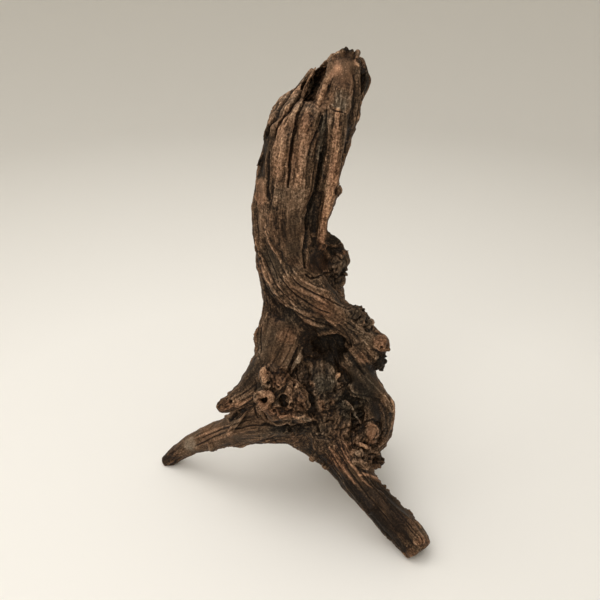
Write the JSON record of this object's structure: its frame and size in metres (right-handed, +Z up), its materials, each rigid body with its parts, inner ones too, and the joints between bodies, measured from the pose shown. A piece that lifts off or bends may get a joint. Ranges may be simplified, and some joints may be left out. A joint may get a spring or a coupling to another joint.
{
  "type": "driftwood",
  "caption": "Weathered branching root wood whose ribbed trunk twists into a hollow, knotted foot that stands on its root ends.",
  "frame": {"origin": "middle of the wood's box on the surface that its three root ends stand on", "axes": "+Z up along the trunk, +X to the right and +Y away as seen from the front, where the hollow below the twisted arm opens towards -Y"},
  "size_m": [0.2322, 0.18, 0.3805],
  "materials": {
    "wood": "matte, weathered"
  },
  "bodies": {
    "root": {"driftwood": "wood"}
  },
  "joints": []
}
